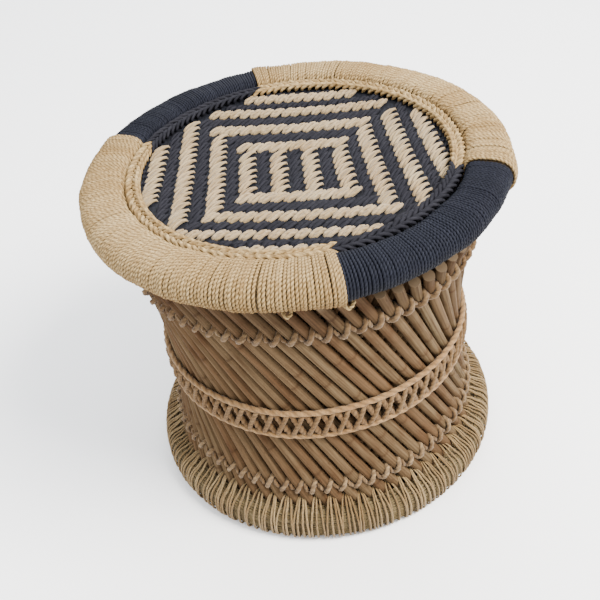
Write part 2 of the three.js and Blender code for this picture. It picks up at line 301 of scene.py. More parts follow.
def tinted(tree, colour, look, layers):
    for share, tint, mode in layers:
        colour = mixed(tree, share, colour, look[tint], mode)
    return colour


def coated(tree, shader, colour, height, strength, distance):
    # the colour and the fine relief of a finish
    tree.links.new(colour, shader.inputs["Base Color"])
    bump = tree.nodes.new("ShaderNodeBump")
    bump.inputs["Strength"].default_value = strength
    bump.inputs["Distance"].default_value = distance
    tree.links.new(height, bump.inputs["Height"])
    tree.links.new(bump.outputs["Normal"], shader.inputs["Normal"])


cordBasics = {
    "shade": 0.75,       # how strongly painted shade darkens the grooves between the plies
    "clumps": 0.7,
    # painted shade, multiplied in where a cord faces the floor
    "paintedShade": (0.56, 0.50, 0.44),
    "roughness": 0.8,
    "gloss": 0.138,
    "sheen": 0.1,
    "patchScale": 20.0,
    "fuzz": 0.5,
}
# the reeds' last colour is painted shade, multiplied in towards their heads under the rim
reedBasics = {"roughness": 0.75, "gloss": 0.03, "paintedShade": (0.66, 0.62, 0.62)}


def cordFinish(name, own):
    # fibres follow the lay of the plies; the grooves between plies and the undersides get painted shade
    look = {**cordBasics, **own}
    finish, tree, shader = newFinish(name, look["roughness"], look["gloss"])
    shader.inputs["Sheen Weight"].default_value = look["sheen"]
    shader.inputs["Sheen Roughness"].default_value = 0.5
    lay = attributeOf(tree, "lay", "Vector")
    fibre = grainOf(tree, lay, (1, 1, 0.12), 3.2)
    patch = grainOf(tree, objectPlace(tree), (1, 1, 1), look["patchScale"], 2.0)
    clump = between(tree, grainOf(tree, lay, (0.25, 0.25, 0.42), 1.0, 2.0), 0.4, 0.62, look["clumps"], 0.0)
    # painted shade in the grooves between the plies
    crest = between(tree, attributeOf(tree, "crest"), 0.05, 0.85, look["shade"], 0.0)
    colour = mixed(tree, between(tree, fibre, 0.3, 0.7), look["deep"], look["pale"])
    colour = tinted(tree, colour, look, [
        (clump, "warm", "MULTIPLY"),
        (between(tree, attributeOf(tree, "tone"), -1, 1), "warm", "MULTIPLY"),
        (between(tree, patch, 0.42, 0.68, 0.0, 0.6), "stain", "MULTIPLY"),
        # painted shade on the undersides, as the attribute says
        (attributeOf(tree, "paintedShade"), "paintedShade", "MULTIPLY"),
        (crest, "grooveShade", "MIX"),
    ])
    coated(tree, shader, colour, fibre, look["fuzz"], 0.0004)
    return finish


def reedFinish(name, own):
    # dry reed skin: streaks along the reed, dark joints, a tone of its own for each reed, and painted shade
    # towards the heads under the rim
    look = {**reedBasics, **own}
    finish, tree, shader = newFinish(name, look["roughness"], look["gloss"])
    place = attributeOf(tree, "reedPlace", "Vector")
    streak = grainOf(tree, place, (1, 1, 0.022), 0.62, 5.0)
    blotch = grainOf(tree, place, (1, 1, 0.35), 0.09, 3.0)
    colour = mixed(tree, between(tree, attributeOf(tree, "reedTone"), -1, 1), look["olive"], look["ruddy"])
    colour = mixed(tree, between(tree, streak, 0.34, 0.62), look["streak"], colour)
    scar = grainOf(tree, place, (1, 1, 0.25), 0.55, 2.0)
    joint = attributeOf(tree, "jointMark")
    colour = tinted(tree, colour, look, [
        (between(tree, blotch, 0.45, 0.72, 0.0, 0.85), "blotch", "MULTIPLY"),
        (between(tree, scar, 0.66, 0.74, 0.0, 0.6), "joint", "MIX"),
        (between(tree, joint, 0.0, 1.0, 0.0, 0.3), "blotch", "MULTIPLY"),
        (between(tree, joint, 0.9, 0.98, 0.0, 0.38), "joint", "MIX"),
        (between(tree, attributeOf(tree, "cutEnd"), 0.3, 0.9, 0.0, 0.85), "cutEnd", "MIX"),
        # painted shade towards the heads under the rim
        (attributeOf(tree, "paintedShade"), "paintedShade", "MULTIPLY"),
    ])
    coated(tree, shader, colour, streak, 0.35, 0.0004)
    return finish


naturalCord = cordFinish("naturalCord", {
    "pale": (0.474, 0.351, 0.183), "deep": (0.27, 0.189, 0.092), "warm": (0.74, 0.68, 0.59),
    "stain": (0.82, 0.76, 0.64), "grooveShade": (0.05, 0.028, 0.012), "shade": 0.92, "clumps": 0.9,
    "roughness": 0.85, "gloss": 0.08, "sheen": 0.0, "patchScale": 14.0,
})
blackCord = cordFinish("blackCord", {
    "pale": (0.0205, 0.0222, 0.032), "deep": (0.009, 0.0098, 0.0146), "warm": (0.7, 0.7, 0.71),
    "stain": (0.78, 0.78, 0.8), "grooveShade": (0.0028, 0.0031, 0.0046), "clumps": 0.8,
    "roughness": 0.55, "gloss": 0.04, "sheen": 0.0, "patchScale": 14.0, "fuzz": 0.4,
})
tieRope = cordFinish("tieRope", {
    "pale": (0.265, 0.182, 0.098), "deep": (0.16, 0.105, 0.053), "warm": (0.56, 0.49, 0.42),
    "stain": (0.82, 0.74, 0.66), "grooveShade": (0.05, 0.03, 0.015), "shade": 0.7,
    "roughness": 0.85, "gloss": 0.11, "fuzz": 0.6,
})
beltRope = cordFinish("beltRope", {
    "pale": (0.34, 0.218, 0.105), "deep": (0.205, 0.126, 0.058), "warm": (0.7, 0.62, 0.52),
    "stain": (0.84, 0.76, 0.66), "grooveShade": (0.06, 0.035, 0.017), "shade": 0.65, "clumps": 0.6,
    "roughness": 0.85, "gloss": 0.11, "fuzz": 0.6,
})
# browner than the belt ropes, and darker with painted shade where the lacing lies recessed between them
lacingCord = cordFinish("lacingCord", {
    "pale": (0.215, 0.138, 0.07), "deep": (0.132, 0.083, 0.04), "warm": (0.75, 0.68, 0.6),
    "stain": (0.75, 0.66, 0.56), "grooveShade": (0.03, 0.017, 0.008),
    "roughness": 0.88, "gloss": 0.0825, "sheen": 0.05, "patchScale": 24.0, "fuzz": 0.6,
})
lashingCord = cordFinish("lashingCord", {
    "pale": (0.325, 0.23, 0.114), "deep": (0.19, 0.13, 0.06), "warm": (0.66, 0.6, 0.5),
    "stain": (0.72, 0.63, 0.52), "grooveShade": (0.055, 0.033, 0.015), "clumps": 0.6,
})
strawFinish = cordFinish("strawFinish", {
    "pale": (0.205, 0.156, 0.082), "deep": (0.128, 0.094, 0.047), "warm": (0.72, 0.68, 0.58),
    "stain": (0.7, 0.63, 0.52), "grooveShade": (0.025, 0.015, 0.0075), "shade": 0.6, "clumps": 0.8,
    "sheen": 0.05, "patchScale": 30.0, "fuzz": 0.4,
})
seatNatural = cordFinish("seatNatural", {
    "pale": (0.368, 0.286, 0.176), "deep": (0.23, 0.172, 0.1), "warm": (0.84, 0.8, 0.7),
    "stain": (0.9, 0.8, 0.72), "grooveShade": (0.065, 0.04, 0.02), "clumps": 0.6,
    "roughness": 0.82, "sheen": 0.15, "patchScale": 18.0,
})
seatBlack = cordFinish("seatBlack", {
    "pale": (0.0225, 0.022, 0.0275), "deep": (0.013, 0.0128, 0.0162), "warm": (0.7, 0.7, 0.72),
    "stain": (0.75, 0.75, 0.78), "grooveShade": (0.005, 0.005, 0.007), "shade": 0.7,
    "roughness": 0.7, "gloss": 0.05, "sheen": 0.0, "patchScale": 18.0, "fuzz": 0.4,
})
reedSkin = reedFinish("reedSkin", {
    "olive": (0.115, 0.083, 0.044), "ruddy": (0.086, 0.047, 0.0225), "streak": (0.055, 0.033, 0.016),
    "blotch": (0.62, 0.5, 0.44), "joint": (0.0275, 0.014, 0.007), "cutEnd": (0.165, 0.122, 0.073),
})
# painted light: the inner reeds' skin is lightened against the shade inside the drum, seen through the gaps
innerReedSkin = reedFinish("innerReedSkin", {
    "olive": (0.12, 0.076, 0.037), "ruddy": (0.11, 0.063, 0.031), "streak": (0.065, 0.039, 0.0195),
    "blotch": (0.6, 0.5, 0.42), "joint": (0.02, 0.01, 0.005), "cutEnd": (0.15, 0.11, 0.065),
})


def grainedFinish(name, look):
    # a plain grain between two tones, for what lies mostly out of sight
    finish, tree, shader = newFinish(name, look["roughness"], look["gloss"])
    grain = grainOf(tree, objectPlace(tree), look["stretch"], look["scale"], look["detail"])
    colour = mixed(tree, between(tree, grain, *look["range"]), look["deep"], look["pale"])
    coated(tree, shader, colour, grain, look["strength"], look["relief"])
    return finish


splitBamboo = grainedFinish("splitBamboo", {
    "deep": (0.062, 0.040, 0.020), "pale": (0.118, 0.080, 0.042), "roughness": 0.5, "gloss": 0.2,
    "stretch": (12, 12, 260), "scale": 9.0, "detail": 4.0, "range": (0.32, 0.7),
    "strength": 0.3, "relief": 0.0004,
})
bundledStraw = grainedFinish("bundledStraw", {
    "deep": (0.045, 0.030, 0.014), "pale": (0.115, 0.080, 0.038), "roughness": 0.8, "gloss": 0.2,
    "stretch": (20, 20, 700), "scale": 2.2, "detail": 3.0, "range": (0.3, 0.7),
    "strength": 0.6, "relief": 0.0008,
})
tightBlackWeave = grainedFinish("tightBlackWeave", {
    "deep": (0.0020, 0.0022, 0.0034), "pale": (0.0065, 0.0072, 0.0110), "roughness": 0.75, "gloss": 0.12,
    "stretch": (180, 110, 60), "scale": 2.0, "detail": 2.0, "range": (0.35, 0.65),
    "strength": 0.5, "relief": 0.0008,
})


def shadedFirstCordLayer():
    # natural or black cord under the outer turns of the rim, as the attribute says, painted far darker than
    # the outer cord as the shade in the gaps between turns
    finish, tree, shader = newFinish("shadedFirstCordLayer", 0.85, 0.08)
    grain = between(tree, grainOf(tree, objectPlace(tree), (1, 1, 1), 260.0, 2.0), 0.35, 0.65)
    natural = mixed(tree, grain, (0.034, 0.021, 0.009), (0.090, 0.060, 0.028))
    black = mixed(tree, grain, (0.0016, 0.0018, 0.0027), (0.0050, 0.0056, 0.0085))
    colour = mixed(tree, attributeOf(tree, "blackTurns"), natural, black)
    coated(tree, shader, colour, grain, 0.4, 0.0006)
    return finish


shadedFirstLayerFinish = shadedFirstCordLayer()
print("finishes mixed")


reeds = {
    "sides": 12,
    "cuts": 32,
    "footRadius": 5.4,
    "tipRadius": 5.3,
    "thinner": {"outer": 0.0, "inner": 0.15},
    "lower": {"outer": 2.5, "inner": 2.2},    # how far the heads stay below the CAD model's
    "sizeSpread": 0.06,
    "bend": 0.7,
    "jointSpacing": 105.0,
    "jointRings": (-5.0, -0.8, 0.8, 5.0),
    "jointSwell": (0.22, -0.1),
    "cutShortFrom": -76.0,   # where round the drum the heads are trimmed short, in degrees
    "cutShortTo": -22.0,
    "cutShortHeight": 297.0,
    "cutShortFall": 0.26,    # how much lower each degree further round
    "headFlare": 4.5,
    "headSlant": 0.35,       # how much lower the outer side of a trimmed head is, against its half width
    "ruddySide": 238.0,      # where round the drum the browner reeds stand, in degrees, and how far round
    "ruddySpread": 34.0,
    "ruddyShare": 0.7,
    "flareFrom": 262.0,      # the height from which the trimmed heads spread
    "paintedShadeFrom": 248.0,      # the height from which painted shade darkens the reeds towards their heads, under the rim
}


def reedBlank():
    # one plain reed, a unit wide and a unit long, with rings to shape
    deselectAll()
    bpy.ops.mesh.primitive_cylinder_add(vertices=reeds["sides"], radius=1, depth=1)
    blank = bpy.context.object
    bpy.ops.object.mode_set(mode="EDIT")
    bpy.ops.mesh.select_all(action="DESELECT")
    bpy.ops.mesh.select_mode(type="EDGE")
    bpy.ops.object.mode_set(mode="OBJECT")
    for edge in blank.data.edges:
        low, high = (blank.data.vertices[k].co.z for k in edge.vertices)
        edge.select = abs(low - high) > 0.5
    bpy.ops.object.mode_set(mode="EDIT")
    bpy.ops.mesh.subdivide(number_cuts=reeds["cuts"] - 1)
    bpy.ops.object.mode_set(mode="OBJECT")
    return blank


blank = reedBlank()
blankCorners = np.array([v.co for v in blank.data.vertices])
blankFaces = [tuple(face.vertices) for face in blank.data.polygons]


def reedShape(layer, angle, top, seed):
    own = random.Random(seed)
    foot = drum["reedFoot"] + 2.0
    heights = np.linspace(foot, top, reeds["cuts"] + 1)
    heights[-2] = top - 0.5
    mark = np.zeros_like(heights)
    swell = np.zeros_like(heights)
    spot = foot + own.uniform(20, reeds["jointSpacing"])
    while spot < top - 20:
        k = int(np.clip(np.argmin(np.abs(heights - spot)), 2, len(heights) - 4))
        heights[k - 1:k + 3] = spot + np.array(reeds["jointRings"])
        mark[k:k + 2] = 1
        swell[k:k + 2] = reeds["jointSwell"]
        spot += reeds["jointSpacing"] * own.uniform(0.75, 1.3)
    ring = np.rint((blankCorners[:, 2] + 0.5) * reeds["cuts"]).astype(int)
    share = (heights - drum["reedFoot"]) / (drum["outer"]["top"] - drum["reedFoot"])
    radius = reeds["footRadius"] + (reeds["tipRadius"] - reeds["footRadius"]) * share
    radius = (radius - reeds["thinner"][layer]) * (1 + own.uniform(-1, 0.5) * reeds["sizeSpread"]) + swell
    out, tangent = outAndRound(angle)
    along = unit(drum[layer]["lean"] * tangent + np.array([0, 0, 1.0]))
    across = np.cross(along, out)
    cutShort = layer == "outer" and top < drum["outer"]["top"] - 5
    ends = np.sin(np.pi * np.clip(share, 0, 1))
    sway = reeds["bend"] * ends * ripple(heights / 110, seed * 2 + 1)
    bow = reeds["bend"] * 0.5 * ends * ripple(heights / 130, seed * 2 + 2)
    if cutShort:
        bow = bow + reeds["headFlare"] * np.clip((heights - reeds["flareFrom"]) / 28, 0, 1) ** 1.5
    axis = out * drum[layer]["waist"] + riseTo(layer, heights)[:, None] * tangent
    axis = axis + sway[:, None] * across + bow[:, None] * out
    axis[:, 2] = heights + sway * across[2]
    local = blankCorners[:, :2] * radius[ring][:, None]
    corners = axis[ring] + local[:, :1] * out + local[:, 1:] * across
    if cutShort:
        trimmed = (ring >= reeds["cuts"] - 1) * reeds["headSlant"] * own.uniform(0.5, 1.3)
        corners = corners - (trimmed * local[:, 0])[:, None] * along
    away = turnedFrom(math.degrees(angle), reeds["ruddySide"])
    browner = reeds["ruddyShare"] * math.exp(-((away / reeds["ruddySpread"]) ** 2))
    return corners, {
        "reedPlace": np.column_stack([local, heights[ring] * 1.14 + own.uniform(0, 4000)]),
        "jointMark": mark[ring],
        "reedTone": np.full(len(ring), own.uniform(-0.9, 0.8) * (1 - 0.5 * browner) + browner),
        "cutEnd": (ring == reeds["cuts"]).astype(float),
        # painted shade, growing from a height towards the heads under the rim
        "paintedShade": np.clip((heights[ring] - reeds["paintedShadeFrom"]) / 34, 0, 1),
    }


def joinReeds(name, shapes, finish, nodes):
    corners = np.vstack([shape for shape, marks in shapes])
    each = len(blankCorners)
    faces = [tuple(k + each * n for k in face) for n in range(len(shapes)) for face in blankFaces]
    mesh = bpy.data.meshes.new(name)
    mesh.from_pydata((corners * mm).tolist(), [], faces)
    for mark in shapes[0][1]:
        spread(mesh, mark, np.concatenate([marks[mark] for shape, marks in shapes]))
    piece = hangUp(name, mesh)
    takeUp(piece)
    bpy.ops.object.shade_smooth_by_angle(angle=math.radians(50))
    deselectAll()
    finishPiece(piece, finish, nodes)


def headHeight(number):
    angle = turnedFrom(math.degrees(number * pitch + driftAt("outer", 300)), 0)
    if reeds["cutShortFrom"] < angle < reeds["cutShortTo"]:
        fall = reeds["cutShortFall"] * (angle - reeds["cutShortFrom"])
        return reeds["cutShortHeight"] - fall + random.Random(number + 50).uniform(-3.5, 3)
    return drum["outer"]["top"] - reeds["lower"]["outer"]


for group, node in enumerate(outerNodes):
    four = range(group * 4, group * 4 + 4)
    shapes = [reedShape("outer", n * pitch, headHeight(n), n + 1) for n in four]
    joinReeds(f"reeds_{group + 1:02d}", shapes, reedSkin, [node])

first = 0
for group, node in enumerate(innerNodes):
    following = int((group + 1) * drum["reedCount"] / len(innerNodes) + 0.5)
    top = drum["inner"]["top"] - reeds["lower"]["inner"]
    shapes = [reedShape("inner", innerPhase + n * pitch, top, n + 201) for n in range(first, following)]
    joinReeds(f"inner_reeds_visual_{group + 1:02d}", shapes, innerReedSkin, [node])
    first = following
bpy.data.objects.remove(blank)
print("reeds stood up in two layers")


ties = {
    "rows": {"low": 59.0, "high": 261.0},
    "sag": {"low": (265.0, 5.0), "high": (225.0, 3.0)},  # where it hangs lowest, in degrees, and by how much
    "ropeRadius": {"low": 2.5, "high": 2.8},
    "slant": {"low": 38.0, "high": 31.0},    # how steeply the rope crosses a reed, in degrees
    # the high row, under the rim, is toned darker as painted shade
    "tone": {"low": (-1.0, 0.4), "high": (0.1, 1.0)},
    "nubRadius": 2.2,
    "nubDrop": 0.6,
    "nubReach": 4.6,
    "backRadius": 1.9,
}


def reedFrame(number, height):
    out, tangent = outAndRound(number * pitch)
    centre = out * drum["outer"]["waist"] + riseTo("outer", height) * tangent
    centre[2] = height
    along = unit(drum["outer"]["lean"] * tangent + np.array([0, 0, 1.0]))
    radial = unit(centre * np.array([1, 1, 0]))
    radial = unit(radial - along * np.dot(radial, along))
    return centre, along, radial, np.cross(along, radial)


def tieLoop(number, height, place, seed):
    centre, along, out, across = reedFrame(number, height)
    own = random.Random(seed)
    ropeRadius = ties["ropeRadius"][place]
    girth = 5.2 + ropeRadius * 0.72
    lean = math.radians(ties["slant"][place] + own.uniform(-9, 9))
    sideways = across * math.cos(lean) + along * math.sin(lean)
    turn = roundSteps(22)
    bulge = 1 + 0.12 * np.cos(turn - 0.6)
    path = (
        centre
        + (girth * np.cos(turn) * bulge)[:, None] * out
        + ((girth - 0.9) / math.cos(lean) * np.sin(turn))[:, None] * sideways
        + (own.uniform(-0.5, 0.5) * np.sin(2 * turn))[:, None] * along
    )
    return {
        "path": path, "out": path - centre, "radius": ropeRadius * own.uniform(0.88, 1.1),
        "closed": True, "tone": own.uniform(*ties["tone"][place]), "start": own.uniform(0, 6),
    }


def tieNub(number, height, seed):
    # the knot pulled tight in the gap beside a reed
    own = random.Random(seed)
    centre, along, out, across = reedFrame(number + 0.5, height)
    lean = across * own.uniform(-0.5, 0.9) + along * own.uniform(-0.3, 0.3)
    down = np.array([4.6, 4.4, 2.6, 0.2, -2.4, -4.0, -3.4])
    forth = np.array([-3.0, 2.2, 5.2, 6.1, 5.0, 1.6, -3.0]) / 6.1 * ties["nubReach"] * own.uniform(0.85, 1.08)
    turn = np.array([-1.4, -0.8, -0.2, 0.2, 0.8, 1.4, 1.6])
    path = centre + down[:, None] * along + forth[:, None] * out + turn[:, None] * lean * 2
    return {
        "path": smoothPath(path, 13), "out": across, "radius": ties["nubRadius"] * own.uniform(0.85, 1.1),
        "tone": own.uniform(0.0, 1.0), "start": own.uniform(0, 6),
    }


def addTieRow(place, height):
    cords = []
    for n in range(drum["reedCount"]):
        lowest, sag = ties["sag"][place]
        away = turnedFrom(math.degrees(n * pitch + driftAt("outer", height)), lowest)
        lift = 1.2 * ripple(n / 5, 31) + 0.6 * ripple(n * 1.7, 32) - sag * math.exp(-((away / 38) ** 2))
        cords.append(tieLoop(n, height + lift, place, n + 400))
        cords.append(tieNub(n, height + lift - ties["nubDrop"], n + 600))
    turn = roundSteps(408)
    ringRadius = math.hypot(drum["outer"]["waist"], riseTo("outer", height)) - 4.5
    back = height - 3 + 1.5 * np.sin(turn * drum["reedCount"])
    cords.append(ringCord(ringRadius, turn, back, ties["backRadius"]))
    row = layCords(f"tie_row_{place}", cords, {"sides": 8, "groove": 0.3, "lay": 11.0})
    finishPiece(row, tieRope, outerNodes)


for place, height in ties["rows"].items():
    addTieRow(place, height)
print("reeds tied in two rows")


belt = {
    "heights": {"lower": 127.5, "upper": 157.4},
    "radius": 157.3,
    "ropeRadius": 2.95,
    "lay": 21.0,
    "lacingTurns": 34,
    "lacingRadius": 157.3,
    "strandRadius": 2.95,
    "frontFatter": -0.35,
    "legLift": 1.2,          # how far the rising legs stand in front of the falling ones, halved
    "tuck": 6.6,             # how far the strands draw in where they pass behind the ropes
}


def addBeltRopes():
    turn = roundSteps(720)
    build = {"sides": 12, "groove": 0.2, "lay": belt["lay"]}
    for place, height in belt["heights"].items():
        rise = height + 1.3 * ripple(turn / fullTurn * 14, 51) * (1 - np.abs(np.cos(turn / 2)) ** 12)
        reach = belt["radius"] + 0.25 * np.sin(turn * drum["reedCount"])
        cord = ringCord(reach, turn, rise, belt["ropeRadius"])
        rope = layCords(f"waist_rope_{place}_visual", [cord], build)
        finishPiece(rope, beltRope, [f"waist_rope_{place}"])


def addLacing():
    middle = sum(belt["heights"].values()) / 2
    reach = (belt["heights"]["upper"] - belt["heights"]["lower"]) / 2 + 1.5
    turns = belt["lacingTurns"]
    turn = roundSteps(turns * 30)
    cords = []
    for strand, phase in enumerate([0, math.pi]):
        wave = turn * turns + phase + 0.25 * ripple(turn * 12, 65 + strand)
        saw = np.arcsin(np.sin(wave) * 0.985) / (math.pi / 2)
        side = np.tanh(np.cos(wave) * 4)
        radius = belt["lacingRadius"] + belt["legLift"] * side + 1.0 - belt["tuck"] * np.abs(saw) ** 5
        radius = radius + 0.4 * ripple(turn * 11, 70 + strand)
        # through their tone the rising legs in front get painted light and the falling legs behind get
        # painted shade
        cords.append({
            "path": ringPoints(radius, turn, middle + reach * saw), "out": ringPoints(1, turn, 0),
            "radius": belt["strandRadius"] + belt["frontFatter"] * side, "closed": True, "tone": -0.35 * side,
        })
    lacing = layCords("waist_lacing_visual", cords, {"sides": 8, "groove": 0.3, "lay": 10.0})
    finishPiece(lacing, lacingCord, ["waist_lacing"])


addBeltRopes()
addLacing()
print("waist belt laced")


foot = {
    "strawStrands": 40,
    "strawRadius": 0.95,
    "nookStrands": [(165.2, 26.6), (166.0, 28.6), (166.8, 30.0), (164.4, 29.2), (165.4, 31.0)],
    "nookRadius": 1.25,
    "cordRadius": 1.16,
    "cordsPerGap": 4,
    "fan": 5.6,
    "pairGap": 1.0,
    "tipWander": 3.0,        # how far the cords' tips in the gaps stand above or below their usual height
}
footOutline = [
    (167.4, 28.4), (168.4, 25), (169.6, 21), (171.6, 12), (174.2, 3.6), (176.5, 2.6), (179.2, 3.1),
    (180.9, 6.5), (181.7, 11), (181.9, 16), (181.3, 21.5), (179.4, 26), (176.4, 28.8), (172.6, 30.2),
    (169.4, 30),
]
strawLine = [
    (174.5, 2.9), (178.6, 3.0), (180.9, 6.2), (181.9, 11.5), (182.0, 17), (181.2, 22.2),
    (178.9, 26.8), (175.4, 29.7), (171.4, 30.8), (168.2, 30.0),
]


def addFootRing():
    core = turnRing("foot_ring_core", footOutline, spinning["steps"])
    finishPiece(core, bundledStraw, ["foot_ring"])
    line = smoothPath([(radius, 0, height) for radius, height in strawLine], 400)
    walked = walkedAlong(line)
    turn = roundSteps(170)
    fade = np.clip(turn / 0.2, 0, 1) * np.clip((fullTurn - turn) / 0.2, 0, 1)
    strands = []
    for k in range(foot["strawStrands"]):
        spot = (k + 0.5) / foot["strawStrands"] * walked[-1]
        spot = np.clip(spot + 1.7 * ripple(turn / fullTurn * 24, 90 + k) * fade, 0, walked[-1])
        radius = np.interp(spot, walked, line[:, 0]) + 0.35 * ripple(turn * 9, 160 + k) * fade
        height = np.interp(spot, walked, line[:, 2])
        thickness = foot["strawRadius"] * (0.85 + 0.3 * dice.random())
        strands.append(ringCord(radius, turn, height, thickness, dice.uniform(-1, 1)))
    for k, (radius, height) in enumerate(foot["nookStrands"]):
        wander = 0.6 * ripple(turn / fullTurn * 30, 500 + k) * np.sin(turn / 2) ** 0.2
        tone = dice.uniform(-1, 1)
        strands.append(ringCord(radius + wander, turn, height + wander, foot["nookRadius"], tone))
    straw = layCords("foot_ring_straw", strands, {"sides": 4, "groove": 0.0, "lay": 60.0})
    finishPiece(straw, strawFinish, ["foot_ring"])


def addFootLashing():
    # from each gap between reeds a few thin cords fan out over the ring and come back inside
    stops = [
        (139.2, 34.4, 0.25), (144, 37.4, 0.15), (154, 38.4, 0.03), (165.0, 37.8, 0.30), (170.6, 34.6, 0.48),
        (176.8, 31.8, 0.66), (181.4, 27.4, 0.82), (183.9, 21.5, 0.92), (184.7, 13.5, 1.0), (183.9, 7, 1.0),
        (181.4, 2.9, 0.95), (176.8, 1.5, 0.85), (166, 1.42, 0.7), (150, 1.42, 0.5), (141.5, 2.0, 0.4),
        (138.6, 6, 0.35), (138.2, 16, 0.3), (138.3, 27, 0.27),
    ]
    flat = smoothPath(stops + [stops[0]], 46)[:-1]
    cords = []
    for gap in range(drum["reedCount"]):
        middle = gapDrift + (gap + 0.5) * pitch
        count = foot["cordsPerGap"] - (1 if dice.random() < 0.35 else 0)
        for k in range(count):
            spot = (k - (count - 1) / 2) / max((count - 1) / 2, 1)
            sideways = (spot + dice.uniform(-0.2, 0.2)) * foot["fan"] * flat[:, 2]
            apart = foot["pairGap"] * np.sign(spot) * np.clip((flat[:, 0] - 158) / 7, 0, 1)
            sideways = sideways + spot * 1.2 + apart
            lean = dice.uniform(-1.2, 1.2) * np.sin(np.linspace(0, math.pi, len(flat)))
            angle = middle + (sideways + lean) / np.maximum(flat[:, 0], 1)
            radius = flat[:, 0] + 0.5 * dice.random() * (flat[:, 0] > 178)
            nearTip = np.exp(-(((flat[:, 0] - 162) / 9) ** 2)) * (flat[:, 1] > 30)
            tip = foot["tipWander"] * ripple(gap / 2.3, 77) * nearTip
            path = ringPoints(radius, angle, flat[:, 1] + tip)
            onward = ringPoints(1, angle + math.pi / 2, 0)
            cords.append({
                "path": path, "out": np.cross(np.gradient(path, axis=0), onward), "closed": True,
                "radius": foot["cordRadius"] * dice.uniform(0.85, 1.15), "tone": dice.uniform(-1, 1),
            })
    lashing = layCords("foot_lashing_visual", cords, {"sides": 6, "groove": 0.22, "lay": 7.0})
    finishPiece(lashing, lashingCord, [f"foot_lashing_{n}" for n in (1, 2, 3)])


hoops = [
    ("lower_hoop_visual", "bamboo", ["lower_hoop"], [
        (140.5, 8), (143.9, 8), (144.4, 8.5), (144.4, 32.5), (143.9, 33), (140.5, 33), (140, 32.5),
        (140, 8.5),
    ]),
    ("seat_hoop_visual", "bamboo", ["seat_hoop"], [
        (150.6, 303), (167.7, 303), (168.3, 303.6), (168.3, 310.6), (167, 312), (158.3, 316), (158.3, 326),
        (157.7, 326.6), (150.6, 326.6), (150, 326), (150, 303.6),
    ]),
    ("reed_head_strip", "inner_reed", innerNodes, [
        (157, 298.5), (167.2, 298.5), (167.2, 302.7), (157, 302.7),
    ]),
]


addFootRing()
addFootLashing()
for name, slotName, nodes, outline in hoops:
    finishPiece(turnRing(name, outline, spinning["steps"]), splitBamboo, nodes)
print("foot ring lashed, hoops in")


rim = {
    "radius": 182.0,
    "height": 329.5,
    "halfWidth": 23.0,
    "halfHeight": 17.5,
    "squareness": 2.25,
    "innerSquareness": 3.4,
    "cordRadius": {"natural": 1.66, "black": 1.62},
    "jitter": {"natural": 1.0, "black": 0.5},
    # fuller: how far a winding stands beyond the line, against the others
    # piled: how far the crowded inner turns ride up on each other
    # grooves: the turn where two bunches part, and how wide the parting is, in turns
    "segments": {
        "front": {
            "colour": "natural", "from": 156.0, "to": 277.6, "turns": 136, "fuller": 0.2, "piled": 0.3,
            "grooves": {8: 0.12, 39: 0.3, 52: 0.34, 61: 0.16, 83: 0.1, 114: 0.24, 128: 0.14, 132: 0.2},
        },
        "right": {
            "colour": "black", "from": 277.6, "to": 340.0, "turns": 72, "fuller": -1.9, "piled": 0.2,
            "grooves": {5: 0.1, 33: 0.08},
        },
        "back": {
            "colour": "natural", "from": 340.0, "to": 459.8, "turns": 134, "fuller": 0.6, "piled": 1.2,
            "grooves": {4: 0.3, 9: 0.5, 14: 0.34, 22: 0.4, 30: 0.3, 40: 0.3, 62: 0.1, 101: 0.14},
        },
        "left": {
            "colour": "black", "from": 459.8, "to": 516.0, "turns": 65, "fuller": -1.2, "piled": 0.2,
            "grooves": {21: 0.08, 44: 0.1},
        },
    },
    "fineStep": 1.5,
    "coarseStep": 4.0,
    "sideJitter": 0.16,
    "liftJitter": 0.28,
    "firstLayerDepth": 0.9,  # of the layer below, under the middle of the outer turns
    "lastTurns": 1.5,        # how far the last natural turns stand proud beside the black ones
    "looseEnds": [(262.5, 0.0), (277.2, 1.0)],
}


def rimLine(psi, wide, tall):
    c, s = np.cos(psi), np.sin(psi)
    power = 2 / np.where(c < 0, rim["innerSquareness"], rim["squareness"])
    return wide * np.sign(c) * np.abs(c) ** power, tall * np.sign(s) * np.abs(s) ** power


def turnSteps():
    # close steps where the winding is seen, wide ones where the seat hides it
    psi = [0.0]
    while psi[-1] < fullTurn:
        place = (psi[-1] - math.pi / 2) % fullTurn
        x0, y0 = rimLine(np.array(place), rim["halfWidth"], rim["halfHeight"])
        x1, y1 = rimLine(np.array(place + 0.01), rim["halfWidth"], rim["halfHeight"])
        speed = max(math.hypot(x1 - x0, y1 - y0) / 0.01, 6)
        hidden = math.radians(152) < place < math.radians(236)
        psi.append(psi[-1] + (rim["coarseStep"] if hidden else rim["fineStep"]) / speed)
    psi = np.array(psi[:-1])
    return psi * (fullTurn / (psi[-1] + psi[1]))


def looseEnd(degrees, longer):
    # the tucked end of a cord that has slipped out under the rim
    stops = [
        (182, 0.0, 312.4), (188, 0.2, 311.2), (192.5, 1.0, 309.6), (194.6, 2.8, 308.4), (194.0, 5.0, 308.2),
        (191.5, 6.6 + longer * 1.5, 309.4), (188.5, 6.4 + longer * 3, 311.0),
    ]
    path = smoothPath([(radius, side, height) for radius, side, height in stops], 26)
    angle = math.radians(degrees) + path[:, 1] / path[:, 0]
    return {"path": ringPoints(path[:, 0], angle, path[:, 2]), "radius": 1.7, "tone": -1}


def rimLump(degrees):
    return 0.7 * ripple(degrees / 9, 7) + 0.4 * ripple(degrees / 3.3, 8)


